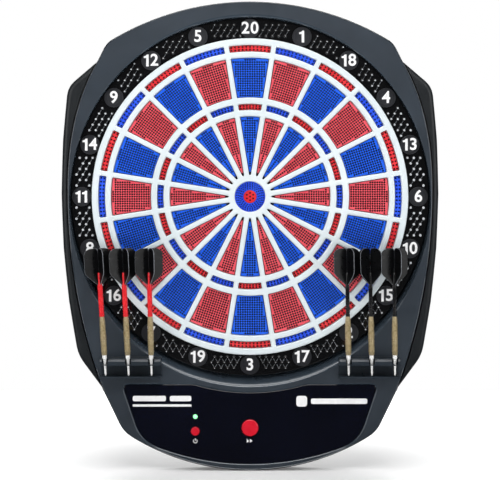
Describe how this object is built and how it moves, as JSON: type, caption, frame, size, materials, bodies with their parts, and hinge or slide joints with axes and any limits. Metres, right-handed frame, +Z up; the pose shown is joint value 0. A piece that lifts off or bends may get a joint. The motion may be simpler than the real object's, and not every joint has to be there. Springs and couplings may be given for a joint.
{
  "type": "electronic dartboard",
  "caption": "Wall-hung electronic dartboard: sprung red and blue target in a white spider, control panel with buttons, battery bay and racks holding soft-tip darts.",
  "frame": {"origin": "on the flat back face that lies against the wall, straight behind the centre of the bull", "axes": "+Z up, -Y out of the front towards the thrower, +X to the right as the thrower sees it"},
  "size_m": [0.4904, 0.0763, 0.6078],
  "materials": {
    "bezel_plastic": "fine-textured satin ABS",
    "wing_plastic": "fine-textured ABS",
    "catch_plastic": "moulded honeycomb ABS",
    "spider_white": "smooth moulded plastic",
    "segment_blue": "moulded, perforated",
    "segment_red": "moulded, perforated",
    "panel_gloss": "printed, high gloss",
    "button_red": "polished",
    "led_clear": "clear moulded light pipe",
    "number_white": "pad-printed",
    "rubber_black": "sheet",
    "film_amber": "printed polyester film",
    "hardboard": "pressed fibre",
    "circuit_green": "solder resist",
    "switch_black": "moulded",
    "cell_wrap": "shrink wrap over steel",
    "nickel": "nickel plated",
    "lead_red": "pvc",
    "lead_black": "pvc",
    "screw_steel": "zinc plated",
    "rack_plastic": "fine-textured ABS",
    "dart_brass": "knurled, turned",
    "dart_tip": "moulded nylon",
    "dart_shaft_red": "moulded nylon",
    "dart_shaft_black": "moulded nylon",
    "dart_flight": "laminated film"
  },
  "bodies": {
    "cabinet": {"rear_housing": "wing_plastic", "front_bezel": "bezel_plastic", "catch_ring": "catch_plastic", "spider": "spider_white", "rubber_mat": "rubber_black", "sensor_membrane": "film_amber", "backing_plate": "hardboard", "control_panel": "panel_gloss", "status_led": "led_clear", "main_board": "circuit_green", "power_switch": "switch_black", "next_switch": "switch_black", "battery_1": "cell_wrap", "battery_2": "cell_wrap", "battery_3": "cell_wrap", "contact_positive": "nickel", "contact_link_right": "nickel", "contact_link_left": "nickel", "contact_negative": "nickel", "lead_positive": "lead_red", "lead_negative": "lead_black", "housing_screw_1": "screw_steel", "housing_screw_2": "screw_steel", "housing_screw_3": "screw_steel", "housing_screw_4": "screw_steel", "housing_screw_5": "screw_steel", "housing_screw_6": "screw_steel", "dart_rack_left": "rack_plastic", "dart_rack_right": "rack_plastic"},
    "scoring_20": {"scoring_20": "segment_blue"},
    "scoring_01": {"scoring_01": "segment_red"},
    "scoring_18": {"scoring_18": "segment_blue"},
    "scoring_04": {"scoring_04": "segment_red"},
    "scoring_13": {"scoring_13": "segment_blue"},
    "scoring_06": {"scoring_06": "segment_red"},
    "scoring_10": {"scoring_10": "segment_blue"},
    "scoring_15": {"scoring_15": "segment_red"},
    "scoring_02": {"scoring_02": "segment_blue"},
    "scoring_17": {"scoring_17": "segment_red"},
    "scoring_03": {"scoring_03": "segment_blue"},
    "scoring_19": {"scoring_19": "segment_red"},
    "scoring_07": {"scoring_07": "segment_blue"},
    "scoring_16": {"scoring_16": "segment_red"},
    "scoring_08": {"scoring_08": "segment_blue"},
    "scoring_11": {"scoring_11": "segment_red"},
    "scoring_14": {"scoring_14": "segment_blue"},
    "scoring_09": {"scoring_09": "segment_red"},
    "scoring_12": {"scoring_12": "segment_blue"},
    "scoring_05": {"scoring_05": "segment_red"},
    "bull_outer": {"bull_outer": "segment_blue"},
    "bull_inner": {"bull_inner": "segment_red"},
    "power_button": {"power_button": "button_red"},
    "next_button": {"next_button": "button_red"},
    "battery_door": {"battery_door": "wing_plastic"},
    "dart_1": {"dart_1": "dart_brass"},
    "dart_2": {"dart_2": "dart_brass"},
    "dart_3": {"dart_3": "dart_brass"},
    "dart_4": {"dart_4": "dart_brass"},
    "dart_5": {"dart_5": "dart_brass"},
    "dart_6": {"dart_6": "dart_brass"}
  },
  "joints": [
    {"name": "scoring_20_press", "type": "slide", "parent": "cabinet", "child": "scoring_20", "axis": [0, 1, 0], "range_m": [0, 0.001], "stiffness_N_per_m": 1500, "springref_m": -0.0005},
    {"name": "scoring_01_press", "type": "slide", "parent": "cabinet", "child": "scoring_01", "axis": [0, 1, 0], "range_m": [0, 0.001], "stiffness_N_per_m": 1500, "springref_m": -0.0005},
    {"name": "scoring_18_press", "type": "slide", "parent": "cabinet", "child": "scoring_18", "axis": [0, 1, 0], "range_m": [0, 0.001], "stiffness_N_per_m": 1500, "springref_m": -0.0005},
    {"name": "scoring_04_press", "type": "slide", "parent": "cabinet", "child": "scoring_04", "axis": [0, 1, 0], "range_m": [0, 0.001], "stiffness_N_per_m": 1500, "springref_m": -0.0005},
    {"name": "scoring_13_press", "type": "slide", "parent": "cabinet", "child": "scoring_13", "axis": [0, 1, 0], "range_m": [0, 0.001], "stiffness_N_per_m": 1500, "springref_m": -0.0005},
    {"name": "scoring_06_press", "type": "slide", "parent": "cabinet", "child": "scoring_06", "axis": [0, 1, 0], "range_m": [0, 0.001], "stiffness_N_per_m": 1500, "springref_m": -0.0005},
    {"name": "scoring_10_press", "type": "slide", "parent": "cabinet", "child": "scoring_10", "axis": [0, 1, 0], "range_m": [0, 0.001], "stiffness_N_per_m": 1500, "springref_m": -0.0005},
    {"name": "scoring_15_press", "type": "slide", "parent": "cabinet", "child": "scoring_15", "axis": [0, 1, 0], "range_m": [0, 0.001], "stiffness_N_per_m": 1500, "springref_m": -0.0005},
    {"name": "scoring_02_press", "type": "slide", "parent": "cabinet", "child": "scoring_02", "axis": [0, 1, 0], "range_m": [0, 0.001], "stiffness_N_per_m": 1500, "springref_m": -0.0005},
    {"name": "scoring_17_press", "type": "slide", "parent": "cabinet", "child": "scoring_17", "axis": [0, 1, 0], "range_m": [0, 0.001], "stiffness_N_per_m": 1500, "springref_m": -0.0005},
    {"name": "scoring_03_press", "type": "slide", "parent": "cabinet", "child": "scoring_03", "axis": [0, 1, 0], "range_m": [0, 0.001], "stiffness_N_per_m": 1500, "springref_m": -0.0005},
    {"name": "scoring_19_press", "type": "slide", "parent": "cabinet", "child": "scoring_19", "axis": [0, 1, 0], "range_m": [0, 0.001], "stiffness_N_per_m": 1500, "springref_m": -0.0005},
    {"name": "scoring_07_press", "type": "slide", "parent": "cabinet", "child": "scoring_07", "axis": [0, 1, 0], "range_m": [0, 0.001], "stiffness_N_per_m": 1500, "springref_m": -0.0005},
    {"name": "scoring_16_press", "type": "slide", "parent": "cabinet", "child": "scoring_16", "axis": [0, 1, 0], "range_m": [0, 0.001], "stiffness_N_per_m": 1500, "springref_m": -0.0005},
    {"name": "scoring_08_press", "type": "slide", "parent": "cabinet", "child": "scoring_08", "axis": [0, 1, 0], "range_m": [0, 0.001], "stiffness_N_per_m": 1500, "springref_m": -0.0005},
    {"name": "scoring_11_press", "type": "slide", "parent": "cabinet", "child": "scoring_11", "axis": [0, 1, 0], "range_m": [0, 0.001], "stiffness_N_per_m": 1500, "springref_m": -0.0005},
    {"name": "scoring_14_press", "type": "slide", "parent": "cabinet", "child": "scoring_14", "axis": [0, 1, 0], "range_m": [0, 0.001], "stiffness_N_per_m": 1500, "springref_m": -0.0005},
    {"name": "scoring_09_press", "type": "slide", "parent": "cabinet", "child": "scoring_09", "axis": [0, 1, 0], "range_m": [0, 0.001], "stiffness_N_per_m": 1500, "springref_m": -0.0005},
    {"name": "scoring_12_press", "type": "slide", "parent": "cabinet", "child": "scoring_12", "axis": [0, 1, 0], "range_m": [0, 0.001], "stiffness_N_per_m": 1500, "springref_m": -0.0005},
    {"name": "scoring_05_press", "type": "slide", "parent": "cabinet", "child": "scoring_05", "axis": [0, 1, 0], "range_m": [0, 0.001], "stiffness_N_per_m": 1500, "springref_m": -0.0005},
    {"name": "bull_outer_press", "type": "slide", "parent": "cabinet", "child": "bull_outer", "axis": [0, 1, 0], "range_m": [0, 0.001], "stiffness_N_per_m": 1200, "springref_m": -0.0005},
    {"name": "bull_inner_press", "type": "slide", "parent": "cabinet", "child": "bull_inner", "axis": [0, 1, 0], "range_m": [0, 0.001], "stiffness_N_per_m": 900, "springref_m": -0.0005},
    {"name": "power_button_press", "type": "slide", "parent": "cabinet", "child": "power_button", "axis": [0, 1, 0], "range_m": [0, 0.001], "stiffness_N_per_m": 600, "springref_m": -0.0005},
    {"name": "next_button_press", "type": "slide", "parent": "cabinet", "child": "next_button", "axis": [0, 1, 0], "range_m": [0, 0.0015], "stiffness_N_per_m": 600, "springref_m": -0.0005},
    {"name": "battery_door_hinge", "type": "hinge", "parent": "cabinet", "child": "battery_door", "pos_m": [0.076, 0, -0.3182], "axis": [-1, 0, 0], "range_deg": [0, 60]},
    {"name": "dart_1_lift", "type": "slide", "parent": "cabinet", "child": "dart_1", "axis": [-0.0645, 0, 0.9979], "range_m": [0, 0.035]},
    {"name": "dart_2_lift", "type": "slide", "parent": "cabinet", "child": "dart_2", "axis": [-0.0506, 0, 0.9987], "range_m": [0, 0.035]},
    {"name": "dart_3_lift", "type": "slide", "parent": "cabinet", "child": "dart_3", "axis": [-0.0244, 0, 0.9997], "range_m": [0, 0.035]},
    {"name": "dart_4_lift", "type": "slide", "parent": "cabinet", "child": "dart_4", "axis": [-0.0157, 0, 0.9999], "range_m": [0, 0.035]},
    {"name": "dart_5_lift", "type": "slide", "parent": "cabinet", "child": "dart_5", "axis": [-0.0157, 0, 0.9999], "range_m": [0, 0.035]},
    {"name": "dart_6_lift", "type": "slide", "parent": "cabinet", "child": "dart_6", "axis": [-0.0052, 0, 1], "range_m": [0, 0.035]}
  ]
}
